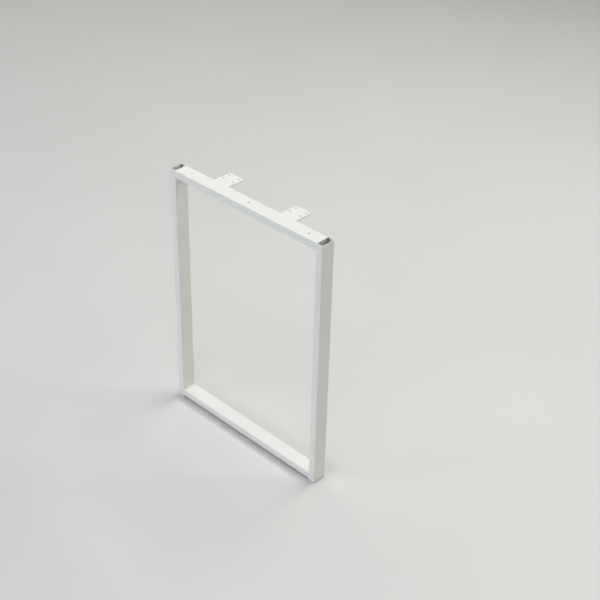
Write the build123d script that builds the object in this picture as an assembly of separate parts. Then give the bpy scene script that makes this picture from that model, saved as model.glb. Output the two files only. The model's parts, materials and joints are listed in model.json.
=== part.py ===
from build123d import *
import os

# Desk leg: a closed upright frame of rectangular steel tube that stands under one end of a desk top.
# Millimetres. X runs along the frame from the left upright to the right one, Y goes through it
# towards the mounting plates, and Z is up.
# The origin is the middle screw hole in the top face, in the plane on which the desk top rests.

# Frame
frame_width = 520.0
frame_height = 710.0

# Rectangular tube of the uprights and rails, its narrow side in the plane of the frame
tube_depth = 40.0
tube_width = 20.0
tube_wall = 1.5
tube_corner = 2.0

# Screw holes through the top rail: the screw's own hole in the top wall, and a wider one below it
# that lets the head and the driver into the tube
rail_hole_count = 3
rail_hole_spacing = 200.0
rail_hole_diameter = 4.0
access_hole_diameter = 10.0

# Mounting plates behind the top rail
plate_width = 50.0
plate_reach = 52.0
plate_thickness = 4.0
plate_corner = 3.0
plate_edge = 0.4
plate_spacing = 228.0

# Four screw holes in each plate
hole_pitch_x = 34.0
hole_pitch_y = 20.0
hole_edge = 10.0
plate_hole_diameter = 4.0

# Foot plugs in the lower ends of the uprights: a flat head, and a hollow shank with fins round it
# whose rims slope inwards by a draft angle in degrees
head_height = 5.0
head_edge = 0.6
head_inset = 0.2
shank_length = 18.0
shank_wall = 1.6
fin_depth = 1.6
fin_thickness = 1.0
fin_draft = 20.0
fin_count = 4
fin_pitch = 3.6
first_fin = 3.0
fin_clearance = 0.05
corner_relief = 0.5

# Fillet welds: the leg of a bead, how far its face is crowned, and how far a plate's bead stops
# short of the plate's sides
bead_leg = 2.0
bead_crown = 0.2
bead_inset = 2.0

# Faces and centre lines that several pieces share
desk_top_z = 0.0
tube_end_z = desk_top_z - frame_height + head_height
upright_x = frame_width / 2 - tube_width / 2
rail_length = frame_width - 2 * tube_width
rail_end_x = rail_length / 2
top_rail_z = desk_top_z - tube_width / 2
bottom_rail_z = tube_end_z + tube_width / 2
rail_back_y = tube_depth / 2
plate_x = plate_spacing / 2
plate_tip_y = rail_back_y + plate_reach
bore_width = tube_width - 2 * tube_wall
bore_depth = tube_depth - 2 * tube_wall
bore_corner = tube_corner - tube_wall
head_corner = tube_corner - head_inset


def outer_section():
    return RectangleRounded(tube_width, tube_depth, tube_corner)


def tube_section():
    return outer_section() - RectangleRounded(bore_width, bore_depth, bore_corner)


def standing(section, side):
    """Extrudes a section of the tube upwards over the length of one upright."""
    base = Pos(side * upright_x, 0, tube_end_z)
    return extrude(base * section, desk_top_z - tube_end_z)


def lying(section, start_x, length, z):
    """Extrudes a section of the tube along X from start_x, with its middle at height z."""
    end_plane = Plane(origin=(start_x, 0, z), x_dir=(0, 0, -1), z_dir=(1, 0, 0))
    return extrude(end_plane * section, length)


def upright(side):
    return standing(tube_section(), side)


def plain_rail(z):
    return lying(tube_section(), -rail_end_x, rail_length, z)


def top_rail():
    """The upper rail, drilled from above and from below at each screw."""
    first_x = -rail_hole_spacing * (rail_hole_count - 1) / 2
    screw_hole = Cylinder(rail_hole_diameter / 2, tube_width / 2)
    access_hole = Cylinder(access_hole_diameter / 2, tube_width / 2)
    rail = plain_rail(top_rail_z)
    for index in range(rail_hole_count):
        x = first_x + index * rail_hole_spacing
        rail -= Pos(x, 0, top_rail_z + tube_width / 4) * screw_hole
        rail -= Pos(x, 0, top_rail_z - tube_width / 4) * access_hole
    return rail


def mounting_plate(side):
    """A flat plate against the rail's back, flush with its top, its free edges slightly broken."""
    blank = Pos(side * plate_x, rail_back_y + plate_reach / 2) * Rectangle(plate_width, plate_reach)
    outline = fillet(blank.vertices().group_by(Axis.Y)[-1], plate_corner)
    plate = extrude(Pos(0, 0, desk_top_z - plate_thickness) * outline, plate_thickness)
    faces = plate.faces().sort_by(Axis.Z)
    rims = faces[0].edges() + faces[-1].edges()
    rims = rims.filter_by(lambda edge: edge.center().Y > rail_back_y + plate_edge)
    plate = chamfer(rims, plate_edge)
    holes_y = plate_tip_y - hole_edge - hole_pitch_y / 2
    pattern = Pos(side * plate_x, holes_y, desk_top_z - plate_thickness / 2)
    grid = GridLocations(hole_pitch_x, hole_pitch_y, 2, 2)
    return plate - pattern * grid * Cylinder(plate_hole_diameter / 2, plate_thickness)


def inset_bore(inset):
    """The outline of the uprights' bore, drawn in all round, its corners rounder than the bore's."""
    corner = bore_corner + corner_relief
    return RectangleRounded(bore_width - 2 * inset, bore_depth - 2 * inset, corner)


def plug_fin():
    """One fin round the shank, full at its foot and drawn in towards its top to ease it in."""
    core = inset_bore(fin_clearance + fin_depth + shank_wall / 2)
    fin = extrude(inset_bore(fin_clearance), fin_thickness, taper=fin_draft)
    return fin - extrude(core, fin_thickness)


def foot_plug(side):
    """A plug seated under one upright, its head the foot and its shank open at the top."""
    head_width = tube_width - 2 * head_inset
    head_depth = tube_depth - 2 * head_inset
    plug = extrude(RectangleRounded(head_width, head_depth, head_corner), head_height)
    sole_edges = plug.edges().group_by(Axis.Z)[0]
    plug = fillet(sole_edges, min(head_edge, 0.9 * head_corner))
    shank = inset_bore(fin_clearance + fin_depth) - inset_bore(fin_clearance + fin_depth + shank_wall)
    plug += extrude(Pos(0, 0, head_height) * shank, shank_length)
    for index in range(fin_count):
        plug += Pos(0, 0, head_height + first_fin + index * fin_pitch) * plug_fin()
    return Pos(side * upright_x, 0, tube_end_z - head_height) * plug


def bead(length):
    """A fillet weld centred on X, in the corner of the planes y = 0 and z = 0, with rounded ends."""
    crown = bead_leg / 2 + bead_crown
    foot = Line((0, 0), (bead_leg, 0))
    face = ThreePointArc((bead_leg, 0), (crown, crown), (0, bead_leg))
    back = Line((0, bead_leg), (0, 0))
    profile = Plane.YZ * make_face([foot, face, back])
    half_run = length / 2 - bead_leg
    run = extrude(Pos(-half_run, 0, 0) * profile, 2 * half_run)
    end = Pos(half_run, 0, 0) * revolve(profile, Axis.Z, -90)
    return run + end + mirror(end, Plane.YZ)


def corner_weld(side, rail_z, inward):
    """Welds one end of a rail to an upright: a bead inside the frame, on the side that inward points
    to, and flush fills where the upright's rounded corners leave a groove in front and behind."""
    rail_face_z = rail_z + inward * tube_width / 2
    corner = Plane(
        origin=(side * rail_end_x, 0, rail_face_z), x_dir=(0, side * inward, 0), z_dir=(0, 0, inward)
    )
    inner_bead = corner * bead(tube_depth - 2 * tube_corner)
    strip_x = min(side * rail_end_x, side * upright_x)
    strip = lying(outer_section(), strip_x, tube_width / 2, rail_z)
    fills = strip - standing(outer_section(), side)
    return [inner_bead, *fills.solids()]


def plate_weld(side):
    """Welds one plate to the rail: a bead under the plate, and a flush fill on top of the joint."""
    joint = Plane(
        origin=(side * plate_x, rail_back_y, desk_top_z - plate_thickness),
        x_dir=(-1, 0, 0),
        z_dir=(0, 0, -1),
    )
    under_bead = joint * bead(plate_width - 2 * bead_inset)
    strip = Pos(side * plate_x, rail_back_y - tube_corner / 2, desk_top_z - tube_corner / 2)
    fill = strip * Box(plate_width, tube_corner, tube_corner)
    fill -= lying(outer_section(), -rail_end_x, rail_length, top_rail_z)
    return [under_bead, fill]


corner_welds = []
plate_welds = []
for side in (-1, 1):
    corner_welds += corner_weld(side, top_rail_z, -1)
    corner_welds += corner_weld(side, bottom_rail_z, 1)
    plate_welds += plate_weld(side)

parts = {
    "left_upright": upright(-1),
    "right_upright": upright(1),
    "top_rail": top_rail(),
    "bottom_rail": plain_rail(bottom_rail_z),
    "left_mounting_plate": mounting_plate(-1),
    "right_mounting_plate": mounting_plate(1),
    "left_foot_plug": foot_plug(-1),
    "right_foot_plug": foot_plug(1),
    "corner_welds": Compound(corner_welds),
    "plate_welds": Compound(plate_welds),
}

os.makedirs("parts", exist_ok=True)
for name, shape in parts.items():
    export_step(shape, f"parts/{name}.step")
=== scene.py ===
import json
import math

import bpy
from mathutils import Matrix, Vector


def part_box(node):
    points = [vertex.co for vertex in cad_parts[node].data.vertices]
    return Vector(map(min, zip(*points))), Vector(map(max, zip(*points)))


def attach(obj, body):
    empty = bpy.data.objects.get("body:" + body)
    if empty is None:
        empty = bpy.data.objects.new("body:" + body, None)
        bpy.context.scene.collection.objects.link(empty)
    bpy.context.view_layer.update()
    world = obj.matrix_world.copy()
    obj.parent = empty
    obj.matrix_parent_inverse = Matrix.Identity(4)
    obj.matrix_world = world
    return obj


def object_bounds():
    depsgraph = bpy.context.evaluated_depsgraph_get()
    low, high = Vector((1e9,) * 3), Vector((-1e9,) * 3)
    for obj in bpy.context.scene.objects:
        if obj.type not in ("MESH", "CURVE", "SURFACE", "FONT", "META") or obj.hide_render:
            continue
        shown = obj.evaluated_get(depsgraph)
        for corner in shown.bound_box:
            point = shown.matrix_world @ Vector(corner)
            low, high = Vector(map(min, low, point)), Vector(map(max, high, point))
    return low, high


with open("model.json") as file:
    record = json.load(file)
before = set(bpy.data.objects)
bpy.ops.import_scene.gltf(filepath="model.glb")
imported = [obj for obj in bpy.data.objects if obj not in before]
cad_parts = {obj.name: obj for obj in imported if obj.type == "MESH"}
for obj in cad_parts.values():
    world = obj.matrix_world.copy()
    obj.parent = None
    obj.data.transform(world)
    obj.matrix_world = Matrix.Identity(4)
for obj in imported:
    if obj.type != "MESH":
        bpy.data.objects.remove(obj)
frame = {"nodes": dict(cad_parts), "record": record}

# The desk leg's looks, in metres, in the frame's own axes: X along the frame, Y towards the mounting
# plates, Z up, with the origin in the middle screw hole of the top face.
cad_low, cad_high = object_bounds()
MM = 0.001

# Measures read from the frame; a joint is where a rail meets an upright
right_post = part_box("right_upright")
top_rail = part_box("top_rail")
bottom_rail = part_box("bottom_rail")
left_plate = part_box("left_mounting_plate")
right_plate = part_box("right_mounting_plate")
plug_top_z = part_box("left_foot_plug")[1].z
floor_z = cad_low.z
desk_top_z = cad_high.z
leg_middle = Vector((0, 0, (floor_z + desk_top_z) / 2))
joint_x = right_post[0].x
post_x = (right_post[0].x + right_post[1].x) / 2
tube_width = right_post[1].x - right_post[0].x
tube_depth = right_post[1].y - right_post[0].y
plate_under_z = right_plate[0].z
bead_leg = plate_under_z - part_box("plate_welds")[0].z
hole_radius = frame["record"]["mounts"][0]["dims"]["r_mm"] * MM

# The frame's two sides, each with the sign of X there
SIDES = ((-1, "left"), (1, "right"))

# The tube's wall and outer corner, and half of its bore
TUBE_WALL = 1.5 * MM
TUBE_CORNER = 2 * MM
half_bore_x = tube_width / 2 - TUBE_WALL
half_bore_y = tube_depth / 2 - TUBE_WALL

# Rippled weld beads: how far they stand proud of the plain ones, how far their face is crowned, the
# steps across it, and how far a plate's bead stops short of the plate's sides
BEAD_PROUD = 0.15 * MM
BEAD_CROWN = 0.3 * MM
BEAD_FACE_STEPS = 10
PLATE_BEAD_INSET = 2 * MM

# The two waves in a hand-laid bead's width: the share of the width that each adds and takes away, the
# length that sets how slowly, and how far it is shifted, in radians
BEAD_WAVES = ((0.035, 5.1 * MM, 0.0), (0.025, 2.3 * MM, 1.7))

# The ripples on a bead: the pitch, the height, how far each bows forward in its middle as a share of the
# pitch, how many of its humps would fit into one pitch, and the rows of points in one pitch
RIPPLE_PITCH = 1.3 * MM
RIPPLE_HEIGHT = 0.12 * MM
RIPPLE_BOW = 0.55
RIPPLE_SQUEEZE = 1.35
RIPPLE_ROWS = 8

# The rolled tube's own seam inside each upright: its height and width, how far its foot is sunk into
# the wall, the gaps to the tube's top end and to the plug, and the steps along it and across it
SEAM_HEIGHT = 0.7 * MM
SEAM_WIDTH = 2.2 * MM
SEAM_SINK = 0.2 * MM
SEAM_TOP_GAP = 1 * MM
SEAM_PLUG_GAP = 2 * MM
SEAM_ROWS = 60
SEAM_ARC_STEPS = 8

# How far that seam lies off the wall's middle, how far it wanders from there and how much its height
# swells, each with the length that sets how slowly
SEAM_OFFSET = 3 * MM
SEAM_WANDER = 0.3 * MM
SEAM_WANDER_RUN = 31 * MM
SEAM_SWELL = 0.12
SEAM_SWELL_RUN = 11 * MM

# Colours, and the strength of the world's own light
COAT_WHITE = (0.862, 0.862, 0.818)
BARE_STEEL = (0.72, 0.72, 0.69)
PLUG_WHITE = (0.78, 0.78, 0.76)
FLOOR_PALE = (0.765, 0.759, 0.738)
WORLD_PALE = (0.66, 0.66, 0.65)
WORLD_FILL = (1.0, 0.7, 0.6)
WORLD_FILL_STRENGTH = 0.04

# Powder coat: the size of its clouds, specks, patches of gloss and rubbed patches, and how wide an
# edge is rubbed
CLOUD_SIZE = 90 * MM
SPECK_SIZE = 2.2 * MM
GLOSS_SIZE = 25 * MM
RUB_SIZE = 14 * MM
RUB_WIDTH = 1.2 * MM

# How rough it is where it is glossiest and where it is dullest, and how much rougher a rub makes it
COAT_GLOSSIEST = 0.36
COAT_DULLEST = 0.46
RUB_ROUGHNESS = 0.12

# Its relief: long waves, orange peel, which is finer and deeper on a weld, and the strip beside each
# joint that was sanded before coating, with the distances at which the strip starts to fade and ends
WAVE_SIZE = 9 * MM
WAVE_DEPTH = 0.07 * MM
PEEL_SIZE = 1.5 * MM
PEEL_DEPTH = 0.06 * MM
WELD_PEEL_SIZE = 1.1 * MM
WELD_PEEL_DEPTH = 0.08 * MM
SANDED_SIZE = 1.6 * MM
SANDED_DEPTH = 0.03 * MM
SANDED_FULL = 2 * MM
SANDED_END = 9 * MM

# Round a screw hole, as radii: the ring of thicker coat and the greyer rim within it. Then how far
# past the hole's own radius the painted shade on its wall ends and is full
RING_OUTER = 3.6 * MM
RING_INNER = 2.6 * MM
RING_HEIGHT = 0.15 * MM
RIM_OUTER = 3.1 * MM
RIM_INNER = 2.5 * MM
HOLE_EDGE_OUTER = 0.15 * MM
HOLE_EDGE_INNER = 0.05 * MM

# The ragged line inside a tube where the coat ends and bare steel begins: the size of its wander and
# how far it goes, the levels, wander included, at which the coat starts to thin and is gone, how much
# deeper the line lies for each metre towards -X, and how much higher in the bore's far corner, which adds
# to the painted shade there
REACH_SIZE = 7 * MM
REACH_WANDER = 8 * MM
REACH_START = 2.5 * MM
REACH_END = -5.5 * MM
REACH_LEAN = 0.01
REACH_CORNER_LIFT = 4.5 * MM

# The bare steel: its scale, how rough and how metallic it is, and the strip of painted shade in the far
# corner
SCALE_SIZE = 3 * MM
STEEL_ROUGHNESS = 0.55
STEEL_METALLIC = 0.2
CORNER_SHADE_WIDTH = 4.5 * MM
CORNER_SHADE_TONE = 0.62

# Streaks that run along the tube, as the stretch of a texture
ALONG_TUBE = (1.0, 1.0, 0.12)

# Foot plug: the size of its milky patches, scratches and grain, the grain's depth, and its parting line
MILKY_SIZE = 8 * MM
SCRATCH_SIZE = 1.5 * MM
GRAIN_SIZE = 0.35 * MM
GRAIN_DEPTH = 0.02 * MM
PARTING_HALF_WIDTH = 0.2 * MM
PARTING_HEIGHT = 0.08 * MM

# How rough it is at its smoothest and roughest, how much rougher scuffs make it, and how deep light
# gets into it
PLUG_SMOOTHEST = 0.5
PLUG_ROUGHEST = 0.6
SCUFF_ROUGHNESS = 0.2
PLUG_LIGHT_DEPTH = 1 * MM

# Heights above the floor between which the plug's scuffs and the painted shade on its end faces fade out,
# and how far the shade's edge wanders
SCUFF_LOW = 0.2 * MM
SCUFF_HIGH = 2.4 * MM
END_SHADE_LOW = 2.1 * MM
END_SHADE_HIGH = 2.9 * MM
END_SHADE_WANDER = 1 * MM

# The floor's paint: the size of its mottle and grain, the grain's depth, and how rough it is
FLOOR_MOTTLE_SIZE = 0.5
FLOOR_GRAIN_SIZE = 3 * MM
FLOOR_GRAIN_DEPTH = 0.1 * MM
FLOOR_ROUGHNESS = 0.75

# The floor's tone, a painted falloff of light: how fast it darkens with the square of the distance along
# Y from its lightest line, how it leans towards +X, both for each metre, and its limits
FLOOR_MIDDLE_Y = 0.3
FLOOR_FALLOFF = 0.031
FLOOR_LEAN = 0.04
FLOOR_DARKEST = 0.6
FLOOR_LIGHTEST = 1.06

# Painted shade on the floor where something near covers it, right under a rail and more widely round the
# feet: how near counts, the darkest factor, and the openness at which that is reached and at which it
# ends
CREVICE_REACH = 12 * MM
CREVICE_TONE = 0.72
CREVICE_CLOSED = 0.2
CREVICE_OPEN = 0.55
CONTACT_REACH = 80 * MM
CONTACT_TONE = 0.9
CONTACT_CLOSED = 0.5
CONTACT_OPEN = 1.0

# The floor's own extent, and where it fades into the background: the middle of the round area that
# stays, and how far out the fade starts and ends
FLOOR_RADIUS = 12.0
FLOOR_SIDES = 96
FADE_MIDDLE = (-0.9, 1.3, floor_z)
FADE_START = 2.4
FADE_END = 3.4

LIGHT_DISTANCE = 7.2

# Camera: where it stands, how it is turned, and its lens
CAMERA_PLACE = (1.81461, -1.73992, 1.40604)
CAMERA_HEADING = -43.284
CAMERA_PITCH = 33.794
CAMERA_ROLL = 1.427
CAMERA_LENS = 72.718
CAMERA_SENSOR = 36.0


class Graph:
    """The node tree of a material or of the world, built node by node."""

    def __init__(self, owner):
        owner.use_nodes = True
        self.tree = owner.node_tree
        self.tree.nodes.clear()

    def node(self, kind, inputs=None, **settings):
        made = self.tree.nodes.new(kind)
        for name, value in settings.items():
            setattr(made, name, value)
        for name, value in (inputs or {}).items():
            self.put(made.inputs[name], value)
        return made

    def put(self, socket, value):
        """Links the socket to another one, or sets its value."""
        if isinstance(value, bpy.types.NodeSocket):
            self.tree.links.new(value, socket)
        else:
            socket.default_value = value

    def math(self, operation, first, second=0.0, third=0.0):
        made = self.node("ShaderNodeMath", operation=operation)
        for socket, value in zip(made.inputs, (first, second, third)):
            self.put(socket, value)
        return made.outputs[0]

    def place(self):
        """The shaded point in the frame's axes, since every piece's object sits at the origin."""
        return self.node("ShaderNodeTexCoord").outputs["Object"]

    def along(self, axis, vector):
        """One of a vector's three coordinates."""
        return self.node("ShaderNodeSeparateXYZ", {"Vector": vector}).outputs[axis]

    def distance(self, first, second):
        gap = self.node("ShaderNodeVectorMath", {0: first, 1: second}, operation="DISTANCE")
        return gap.outputs["Value"]

    def noise(self, place, size, detail=2.0, roughness=0.5, stretch=(1.0, 1.0, 1.0)):
        """Smooth noise from 0 to 1 whose features are about size metres across."""
        scaled = self.node("ShaderNodeMapping", {"Vector": place, "Scale": stretch}).outputs[0]
        made = self.node(
            "ShaderNodeTexNoise",
            {"Vector": scaled, "Scale": 1.0 / size, "Detail": detail, "Roughness": roughness},
        )
        return made.outputs["Fac"]

    def remap(self, value, low, high, to_low=0.0, to_high=1.0):
        """Turns low to high into to_low to to_high, smoothly and held at both ends."""
        made = self.node(
            "ShaderNodeMapRange",
            {"Value": value, "From Min": low, "From Max": high, "To Min": to_low, "To Max": to_high},
            interpolation_type="SMOOTHSTEP",
        )
        return made.outputs[0]

    def mix(self, share, first, second):
        """Blends two colours, each a socket or plain red, green and blue."""
        made = self.node("ShaderNodeMix", data_type="RGBA")
        self.put(made.inputs[0], share)
        for socket, colour in ((made.inputs[6], first), (made.inputs[7], second)):
            self.put(socket, colour if isinstance(colour, bpy.types.NodeSocket) else (*colour, 1.0))
        return made.outputs[2]

    def mottle(self, noise, colour, darkest, lightest):
        """A plain colour that turns a little darker and lighter as the noise does."""
        return self.mix(self.remap(noise, 0.3, 0.7), shade(colour, darkest), shade(colour, lightest))

    def bump(self, height, distance, strength, normal=None):
        inputs = {"Height": height, "Distance": distance, "Strength": strength}
        if normal is not None:
            inputs["Normal"] = normal
        return self.node("ShaderNodeBump", inputs).outputs[0]

    def background_rays(self):
        """1 for the rays that show the plain background: the camera's, and those of gloss and glass."""
        rays = self.node("ShaderNodeLightPath").outputs
        shown = self.math("MAXIMUM", rays["Is Camera Ray"], rays["Is Glossy Ray"])
        return self.math("MAXIMUM", shown, rays["Is Transmission Ray"])


def shade(colour, factor):
    return tuple(channel * factor for channel in colour)


def screw_holes():
    """The X and Y of every screw hole in the top face, from the record's bore and bolt patterns."""
    places = []
    for mount in frame["record"]["mounts"]:
        x, y = mount["pos_m"][:2]
        if mount["kind"] == "bore":
            places.append((x, y))
        if mount["kind"] == "bolt_pattern":
            half_x = mount["dims"].get("spacing_x_mm", 0.0) / 2 * MM
            half_y = mount["dims"].get("spacing_y_mm", 0.0) / 2 * MM
            places += sorted({(x + sx * half_x, y + sy * half_y) for sx in (-1, 1) for sy in (-1, 1)})
    return places


def hole_distance(graph, place):
    """The distance from the shaded point to the nearest screw hole's axis."""
    nearest = None
    level = graph.node("ShaderNodeVectorMath", {0: place, 1: (1, 1, 0)}, operation="MULTIPLY").outputs[0]
    for x, y in screw_holes():
        away = graph.distance(level, (x, y, 0))
        nearest = away if nearest is None else graph.math("MINIMUM", nearest, away)
    return nearest


def edge_mask(graph, radius):
    """1 along the edges of the form and 0 on its flats."""
    true_normal = graph.node("ShaderNodeNewGeometry").outputs["Normal"]
    rounded = graph.node("ShaderNodeBevel", {"Radius": radius}, samples=6).outputs[0]
    agree = graph.node("ShaderNodeVectorMath", {0: true_normal, 1: rounded}, operation="DOT_PRODUCT")
    return graph.remap(agree.outputs["Value"], 0.97, 0.80)


def coat_relief(graph, place, over_weld):
    """The coat's normal: long waves, orange peel, and sanding marks beside the joints."""
    waves = graph.noise(place, WAVE_SIZE, detail=1.0)
    normal = graph.bump(waves, WAVE_DEPTH, 0.4)
    peel = graph.noise(place, WELD_PEEL_SIZE if over_weld else PEEL_SIZE, detail=2.0)
    normal = graph.bump(peel, WELD_PEEL_DEPTH if over_weld else PEEL_DEPTH, 0.6, normal)
    from_middle = graph.math("ABSOLUTE", graph.along("X", place))
    from_joint = graph.math("ABSOLUTE", graph.math("SUBTRACT", from_middle, joint_x))
    strip = graph.remap(from_joint, SANDED_FULL, SANDED_END, 1.0, 0.0)
    sanded = graph.noise(place, SANDED_SIZE, detail=3.0, stretch=ALONG_TUBE)
    return graph.bump(graph.math("MULTIPLY", sanded, strip), SANDED_DEPTH, 0.5, normal)


def hole_marks(graph, place, tone, colour, normal):
    """Adds to a coat's colour and normal a raised ring and a greyer rim round each screw hole, and the
    wall inside it in bare steel's colour, darkened further by the given tone as painted shade."""
    away = hole_distance(graph, place)
    ring = graph.remap(away, RING_OUTER, RING_INNER)
    normal = graph.bump(ring, RING_HEIGHT, 0.6, normal)
    rim = graph.remap(away, RIM_OUTER, RIM_INNER, 0.0, 0.12)
    colour = graph.mix(rim, colour, shade(COAT_WHITE, 0.7))
    # Painted shade on the hole's wall: bare steel's colour at the given tone
    in_hole = graph.remap(away, hole_radius + HOLE_EDGE_OUTER, hole_radius + HOLE_EDGE_INNER)
    return graph.mix(in_hole, colour, shade(BARE_STEEL, tone)), normal


def bare_bore(graph, place):
    """How bare the surface is, which is 1 deep inside an upright and 0 outside it, and the colour of
    the bare steel, with painted shade in the bore's far corner, towards -X and +Y."""
    x = graph.along("X", place)
    y = graph.along("Y", place)
    across = graph.math("SUBTRACT", x, graph.math("MULTIPLY", graph.math("SIGN", x), post_x))
    within_x = graph.math("LESS_THAN", graph.math("ABSOLUTE", across), half_bore_x + TUBE_WALL / 2)
    within_y = graph.math("LESS_THAN", graph.math("ABSOLUTE", y), half_bore_y + TUBE_WALL / 2)
    inside = graph.math("MULTIPLY", within_x, within_y)

    from_side = graph.math("ADD", across, half_bore_x)
    from_back = graph.math("SUBTRACT", half_bore_y, y)
    from_corner = graph.math("MAXIMUM", from_side, from_back)
    # Painted shade in the corner between the bore's -X and +Y walls, where the coat line also lies higher
    corner = graph.remap(from_corner, 1.3 * CORNER_SHADE_WIDTH, 0.7 * CORNER_SHADE_WIDTH)

    wander = graph.noise(place, REACH_SIZE, detail=4.0)
    level = graph.math("MULTIPLY_ADD", wander, REACH_WANDER, graph.along("Z", place))
    level = graph.math("MULTIPLY_ADD", x, -REACH_LEAN, level)
    level = graph.math("MULTIPLY_ADD", corner, -REACH_CORNER_LIFT, level)
    bare = graph.math("MULTIPLY", inside, graph.remap(level, REACH_START, REACH_END))

    scale = graph.noise(place, SCALE_SIZE, detail=4.0, roughness=0.6, stretch=ALONG_TUBE)
    steel = graph.mottle(scale, BARE_STEEL, 0.78, 1.16)
    return bare, graph.mix(corner, steel, shade(BARE_STEEL, CORNER_SHADE_TONE))


def powder_coat(name, with_bore=False, hole_shade_tone=None, over_weld=False):
    """Satin white powder coat: orange peel, faint clouds and specks, patches of gloss, and duller,
    greyer rubs along the edges. Pieces with screw holes give the tone of the painted shade on the holes'
    walls, and those with an open bore are bare steel inside it."""
    material = bpy.data.materials.new(name)
    graph = Graph(material)
    place = graph.place()

    colour = graph.mottle(graph.noise(place, CLOUD_SIZE, detail=3.0), COAT_WHITE, 0.985, 1.01)
    specks = graph.noise(place, SPECK_SIZE, detail=1.0)
    colour = graph.mix(graph.remap(specks, 0.72, 0.8, 0.0, 0.05), colour, shade(COAT_WHITE, 0.8))

    patches = graph.noise(place, RUB_SIZE, detail=4.0, roughness=0.65)
    rubbed = graph.math("MULTIPLY", edge_mask(graph, RUB_WIDTH), graph.remap(patches, 0.5, 0.68))
    colour = graph.mix(graph.math("MULTIPLY", rubbed, 0.16), colour, shade(COAT_WHITE, 0.72))

    gloss = graph.noise(place, GLOSS_SIZE, detail=3.0)
    roughness = graph.remap(gloss, 0.25, 0.75, COAT_GLOSSIEST, COAT_DULLEST)
    roughness = graph.math("ADD", roughness, graph.math("MULTIPLY", rubbed, RUB_ROUGHNESS))
    normal = coat_relief(graph, place, over_weld)
    metallic = 0.0

    if hole_shade_tone is not None:
        colour, normal = hole_marks(graph, place, hole_shade_tone, colour, normal)
    if with_bore:
        bare, steel = bare_bore(graph, place)
        colour = graph.mix(bare, colour, steel)
        roughness = graph.math("MAXIMUM", roughness, graph.math("MULTIPLY", bare, STEEL_ROUGHNESS))
        metallic = graph.math("MULTIPLY", bare, STEEL_METALLIC)

    shader = graph.node(
        "ShaderNodeBsdfPrincipled",
        {"Base Color": colour, "Roughness": roughness, "Metallic": metallic, "Normal": normal},
    )
    graph.node("ShaderNodeOutputMaterial", {"Surface": shader.outputs[0]})
    return material


def end_face_painted_shade(graph, place, wander):
    """1 along the lower edge of a plug's end faces, which look along X, where shade is painted, and 0
    elsewhere.
    """
    normal_x = graph.along("X", graph.node("ShaderNodeNewGeometry").outputs["Normal"])
    end_face = graph.remap(graph.math("ABSOLUTE", normal_x), 0.6, 0.8)
    level = graph.math("MULTIPLY_ADD", wander, END_SHADE_WANDER, graph.along("Z", place))
    return graph.math("MULTIPLY", end_face, graph.remap(level, floor_z + END_SHADE_HIGH, floor_z + END_SHADE_LOW))


def moulded_plastic(name):
    """Matte white polyethylene with a spark-eroded grain, a parting line, a scuffed sole and painted
    shade along the lower edge of its end faces."""
    material = bpy.data.materials.new(name)
    graph = Graph(material)
    place = graph.place()

    milky = graph.noise(place, MILKY_SIZE, detail=3.0)
    colour = graph.mottle(milky, PLUG_WHITE, 0.93, 1.05)
    scratches = graph.noise(place, SCRATCH_SIZE, detail=4.0, stretch=(0.25, 1.0, 1.0))
    sole = graph.remap(graph.along("Z", place), floor_z + SCUFF_HIGH, floor_z + SCUFF_LOW)
    scuffed = graph.math("MULTIPLY", sole, graph.remap(scratches, 0.5, 0.7))
    colour = graph.mix(graph.math("MULTIPLY", scuffed, 0.35), colour, shade(PLUG_WHITE, 0.5))
    # Painted shade along the foot of the end faces
    end_shade = end_face_painted_shade(graph, place, milky)
    colour = graph.mix(graph.math("MULTIPLY", end_shade, 0.9), colour, shade(PLUG_WHITE, 0.48))

    roughness = graph.remap(milky, 0.3, 0.7, PLUG_SMOOTHEST, PLUG_ROUGHEST)
    roughness = graph.math("ADD", roughness, graph.math("MULTIPLY", scuffed, SCUFF_ROUGHNESS))
    normal = graph.bump(graph.noise(place, GRAIN_SIZE, detail=2.0), GRAIN_DEPTH, 0.5)
    parting = graph.remap(graph.math("ABSOLUTE", graph.along("Y", place)), PARTING_HALF_WIDTH, 0.0)
    normal = graph.bump(parting, PARTING_HEIGHT, 0.7, normal)

    shader = graph.node(
        "ShaderNodeBsdfPrincipled",
        {
            "Base Color": colour,
            "Roughness": roughness,
            "Normal": normal,
            "Subsurface Weight": 0.15,
            "Subsurface Scale": PLUG_LIGHT_DEPTH,
            "IOR": 1.51,
        },
    )
    graph.node("ShaderNodeOutputMaterial", {"Surface": shader.outputs[0]})
    return material


def painted_cover_shade(graph, reach, closed, clear, darkest):
    """Painted shade: the darkest factor where what is within reach closes off the floor, and 1 where it
    is clear.
    """
    openness = graph.node("ShaderNodeAmbientOcclusion", {"Distance": reach}).outputs["AO"]
    return graph.remap(openness, closed, clear, darkest, 1.0)


def floor_painted_light_and_shade(graph, place):
    """The factor on the floor's colour, all painted light and shade: it falls off along Y and leans along
    X as painted light, and deepens under and beside the leg as painted shade."""
    # Painted falloff of light along Y, with a lean along X
    from_middle = graph.math("SUBTRACT", graph.along("Y", place), FLOOR_MIDDLE_Y)
    squared = graph.math("MULTIPLY", from_middle, from_middle)
    tone = graph.math("MULTIPLY_ADD", squared, -FLOOR_FALLOFF, 1.0)
    tone = graph.math("MULTIPLY_ADD", graph.along("X", place), FLOOR_LEAN, tone)
    tone = graph.math("MINIMUM", graph.math("MAXIMUM", tone, FLOOR_DARKEST), FLOOR_LIGHTEST)
    # Painted shade right under a rail, then more widely round the feet
    crevice_shade = painted_cover_shade(graph, CREVICE_REACH, CREVICE_CLOSED, CREVICE_OPEN, CREVICE_TONE)
    contact_shade = painted_cover_shade(graph, CONTACT_REACH, CONTACT_CLOSED, CONTACT_OPEN, CONTACT_TONE)
    return graph.math("MULTIPLY", graph.math("MULTIPLY", tone, crevice_shade), contact_shade)


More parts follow.
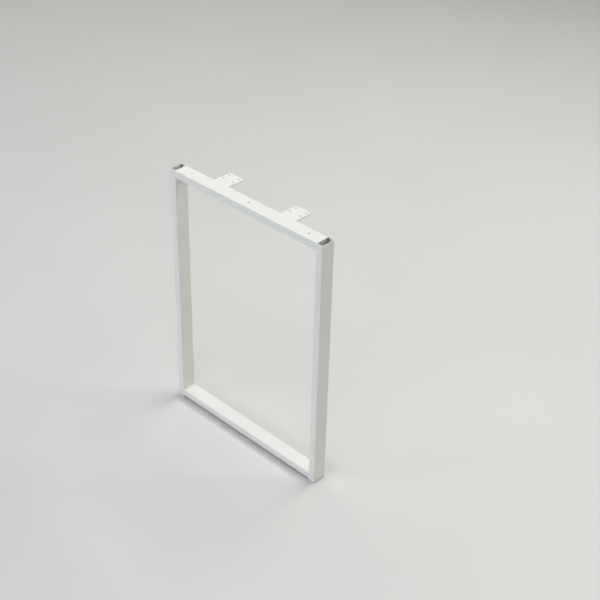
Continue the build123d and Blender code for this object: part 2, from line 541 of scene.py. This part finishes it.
def studio_floor(name):
    """A pale matte floor, faintly mottled. To the rays that show the background it fades out far from
    the leg, and is clear from below."""
    material = bpy.data.materials.new(name)
    graph = Graph(material)
    place = graph.place()
    colour = graph.mottle(graph.noise(place, FLOOR_MOTTLE_SIZE, detail=4.0), FLOOR_PALE, 0.985, 1.01)
    toned = graph.node(
        "ShaderNodeVectorMath", {0: colour, "Scale": floor_painted_light_and_shade(graph, place)}, operation="SCALE"
    )
    normal = graph.bump(graph.noise(place, FLOOR_GRAIN_SIZE, detail=3.0), FLOOR_GRAIN_DEPTH, 0.15)
    shader = graph.node(
        "ShaderNodeBsdfPrincipled",
        {
            "Base Color": toned.outputs["Vector"],
            "Roughness": FLOOR_ROUGHNESS,
            "Specular IOR Level": 0.2,
            "Normal": normal,
        },
    )
    faded = graph.remap(graph.distance(place, FADE_MIDDLE), FADE_START, FADE_END)
    underside = graph.node("ShaderNodeNewGeometry").outputs["Backfacing"]
    gone = graph.math("MULTIPLY", graph.math("MAXIMUM", faded, underside), graph.background_rays())
    clear = graph.node("ShaderNodeBsdfTransparent")
    mixed = graph.node("ShaderNodeMixShader", {0: gone, 1: shader.outputs[0], 2: clear.outputs[0]})
    graph.node("ShaderNodeOutputMaterial", {"Surface": mixed.outputs[0]})
    return material


def mesh_object(name, points, faces, smooth=True):
    mesh = bpy.data.meshes.new(name)
    mesh.from_pydata(points, [], faces)
    mesh.validate()
    mesh.update()
    for face in mesh.polygons:
        face.use_smooth = smooth
    piece = bpy.data.objects.new(name, mesh)
    bpy.context.scene.collection.objects.link(piece)
    return piece


def finish_piece(piece, material):
    piece.data.materials.append(material)
    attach(piece, "root")


def lofted(name, rings):
    """A closed tube through rings of as many points each, with a cap at each end."""
    count = len(rings[0])
    points = [point for ring in rings for point in ring]
    faces = []
    for row in range(len(rings) - 1):
        for column in range(count):
            near, far = row * count + column, row * count + (column + 1) % count
            faces.append((near, far, far + count, near + count))
    last = (len(rings) - 1) * count
    faces.append(tuple(reversed(range(count))))
    faces.append(tuple(range(last, last + count)))
    return mesh_object(name, points, faces)


def arch(share):
    """0 at both ends of a share from 0 to 1, and 1 in its middle."""
    return 4 * share * (1 - share)


def bead_section(leg, crown):
    """The corner of the two walls, then the bead's crowned face from one wall to the other, each point
    with its share of the way across the face."""
    section = [(0.0, 0.0, 0.0)]
    for step in range(BEAD_FACE_STEPS + 1):
        share = step / BEAD_FACE_STEPS
        lift = crown * arch(share) / math.sqrt(2)
        section.append((leg * (1 - share) + lift, leg * share + lift, share))
    return section


def bead_width(at):
    """How wide a hand-laid bead is at a place along it, as a share of its mean width."""
    return 1.0 + sum(share * math.sin(at / run + shift) for share, run, shift in BEAD_WAVES)


def ripple_lift(at, share):
    """How far a ripple lifts a point of a bead's face along each wall's direction."""
    phase = (at / RIPPLE_PITCH + RIPPLE_BOW * arch(share)) % 1.0
    hump = math.sin(math.pi * min(1.0, RIPPLE_SQUEEZE * phase))
    return RIPPLE_HEIGHT * hump * math.sin(math.pi * share) / math.sqrt(2)


def weld_bead(name, middle, run, first_wall, second_wall, length):
    """A rippled fillet weld along run, with rounded ends, in the corner from which both wall directions
    lead away."""
    middle, run = Vector(middle), Vector(run)
    first_wall, second_wall = Vector(first_wall), Vector(second_wall)
    leg = bead_leg + BEAD_PROUD
    half = length / 2 + BEAD_PROUD
    count = int(2 * half / (RIPPLE_PITCH / RIPPLE_ROWS))
    rings = []
    for row in range(count + 1):
        at = -half + 2 * half * row / count
        into_end = max(0.0, (abs(at) - (half - leg)) / leg)
        taper = math.sqrt(max(1e-4, 1.0 - into_end ** 2))
        ring = []
        for u, v, share in bead_section(leg * bead_width(at), BEAD_CROWN + BEAD_PROUD):
            lift = ripple_lift(at, share)
            spot = first_wall * ((u + lift) * taper) + second_wall * ((v + lift) * taper)
            ring.append(tuple(middle + run * at + spot))
        rings.append(ring)
    return lofted(name, rings)


def corner_beads(material):
    """One bead in each inner corner of the frame, along the flat of the tube's depth."""
    for side, side_name in SIDES:
        for z, up, level in ((top_rail[0].z, -1, "upper"), (bottom_rail[1].z, 1, "lower")):
            bead = weld_bead(
                f"{side_name}_{level}_bead",
                (side * joint_x, 0, z),
                (0, 1, 0),
                (-side, 0, 0),
                (0, 0, up),
                tube_depth - 2 * TUBE_CORNER,
            )
            finish_piece(bead, material)


def plate_beads(material):
    """One bead under each mounting plate, against the rail's back."""
    for plate, side_name in ((left_plate, "left"), (right_plate, "right")):
        bead = weld_bead(
            f"{side_name}_plate_bead",
            ((plate[0].x + plate[1].x) / 2, top_rail[1].y, plate_under_z),
            (1, 0, 0),
            (0, 1, 0),
            (0, 0, -1),
            plate[1].x - plate[0].x - 2 * PLATE_BEAD_INSET,
        )
        finish_piece(bead, material)


def seam_ring(side, z):
    """The outline of one upright's seam at a height: its sunk foot, the ridge and the foot again."""
    wall_x = side * (post_x + half_bore_x)
    sunk_x = wall_x + side * SEAM_SINK
    middle_y = SEAM_OFFSET + SEAM_WANDER * math.sin(z / SEAM_WANDER_RUN)
    height = SEAM_HEIGHT * (1 + SEAM_SWELL * math.sin(z / SEAM_SWELL_RUN))
    ring = [(sunk_x, middle_y - SEAM_WIDTH / 2, z)]
    for step in range(1, SEAM_ARC_STEPS):
        angle = math.pi * step / SEAM_ARC_STEPS
        x = wall_x - side * height * math.sin(angle)
        ring.append((x, middle_y - SEAM_WIDTH / 2 * math.cos(angle), z))
    ring.append((sunk_x, middle_y + SEAM_WIDTH / 2, z))
    return ring if side < 0 else ring[::-1]


def tube_seams(material):
    """The rolled tube's own weld seam, a low ridge down the inside of each upright's outer wall."""
    low_z = plug_top_z + SEAM_PLUG_GAP
    high_z = desk_top_z - SEAM_TOP_GAP
    heights = [low_z + (high_z - low_z) * row / SEAM_ROWS for row in range(SEAM_ROWS + 1)]
    for side, side_name in SIDES:
        seam = lofted(f"{side_name}_tube_seam", [seam_ring(side, z) for z in heights])
        finish_piece(seam, material)


def dress_nodes(materials):
    """Gives each CAD node the material of its part of the leg."""
    for name, material in materials.items():
        node = frame["nodes"][name]
        if not node.material_slots:
            node.data.materials.append(material)
        for slot in node.material_slots:
            slot.material = material


def make_floor():
    """A round floor about the leg, wide enough for every view."""
    points = []
    for corner in range(FLOOR_SIDES):
        angle = 2 * math.pi * corner / FLOOR_SIDES
        points.append((FLOOR_RADIUS * math.cos(angle), FLOOR_RADIUS * math.sin(angle), floor_z))
    floor = mesh_object("studio_floor", points, [tuple(range(FLOOR_SIDES))], smooth=False)
    floor.data.materials.append(studio_floor("floor_paint"))


def softbox(name, azimuth, elevation, size, power, colour):
    """A rectangular lamp that faces the leg's middle; azimuth 0 is +X and 90 is +Y, in degrees."""
    lamp = bpy.data.lights.new(name, "AREA")
    lamp.shape = "RECTANGLE"
    lamp.size, lamp.size_y = size
    lamp.energy = power
    lamp.color = colour
    turn, rise = math.radians(azimuth), math.radians(elevation)
    outward = Vector((math.cos(turn) * math.cos(rise), math.sin(turn) * math.cos(rise), math.sin(rise)))
    holder = bpy.data.objects.new(name, lamp)
    holder.location = leg_middle + LIGHT_DISTANCE * outward
    holder.rotation_euler = (-outward).to_track_quat("-Z", "Y").to_euler()
    bpy.context.scene.collection.objects.link(holder)


def make_lights():
    """A long strip light behind, one low in front, and weaker ones on the left, the right and above."""
    softbox("front", 247, 20, (5.4, 2.2), 231.0, (0.76, 0.86, 1.0))
    softbox("back", 68, 46, (5.0, 1.2), 216.0, (1.0, 0.985, 0.955))
    softbox("back_high", 95, 65, (2.2, 2.2), 98.0, (0.94, 0.95, 1.0))
    softbox("back_left", 150, 42, (4.5, 4.5), 79.6, (0.9, 1.0, 0.9))
    softbox("right_high", 300, 65, (3.2, 3.2), 140.0, (1.0, 0.945, 0.96))
    softbox("right_low", 15, 25, (4.5, 4.5), 40.0, (0.86, 1.0, 0.84))


def make_world():
    """A faint, warm light from all round; the rays that show the background see a pale backdrop."""
    world = bpy.data.worlds.new("studio")
    bpy.context.scene.world = world
    graph = Graph(world)
    fill = graph.node(
        "ShaderNodeBackground", {"Color": (*WORLD_FILL, 1.0), "Strength": WORLD_FILL_STRENGTH}
    )
    backdrop = graph.node("ShaderNodeBackground", {"Color": (*WORLD_PALE, 1.0), "Strength": 1.0})
    shown = graph.background_rays()
    mixed = graph.node("ShaderNodeMixShader", {0: shown, 1: fill.outputs[0], 2: backdrop.outputs[0]})
    graph.node("ShaderNodeOutputWorld", {"Surface": mixed.outputs[0]})


def make_camera():
    data = bpy.data.cameras.new("camera")
    data.lens = CAMERA_LENS
    data.sensor_width = CAMERA_SENSOR
    camera = bpy.data.objects.new("camera", data)
    bpy.context.scene.collection.objects.link(camera)
    turn = (
        Matrix.Rotation(-math.radians(CAMERA_HEADING), 4, "Z")
        @ Matrix.Rotation(math.radians(90 - CAMERA_PITCH), 4, "X")
        @ Matrix.Rotation(math.radians(CAMERA_ROLL), 4, "Z")
    )
    camera.matrix_world = Matrix.Translation(CAMERA_PLACE) @ turn
    bpy.context.scene.camera = camera


tube_paint = powder_coat("tube_powder_coat", with_bore=True)
rail_paint = powder_coat("rail_powder_coat", hole_shade_tone=1.0)
plate_paint = powder_coat("plate_powder_coat", hole_shade_tone=0.65)
weld_paint = powder_coat("weld_powder_coat", over_weld=True)
plug_plastic = moulded_plastic("plug_polyethylene")

dress_nodes(
    {
        "left_upright": tube_paint,
        "right_upright": tube_paint,
        "top_rail": rail_paint,
        "bottom_rail": tube_paint,
        "left_mounting_plate": plate_paint,
        "right_mounting_plate": plate_paint,
        "corner_welds": weld_paint,
        "plate_welds": weld_paint,
        "left_foot_plug": plug_plastic,
        "right_foot_plug": plug_plastic,
    }
)
corner_beads(weld_paint)
plate_beads(weld_paint)
tube_seams(tube_paint)

make_floor()
make_lights()
make_world()
make_camera()
bpy.context.scene.view_settings.view_transform = "Standard"
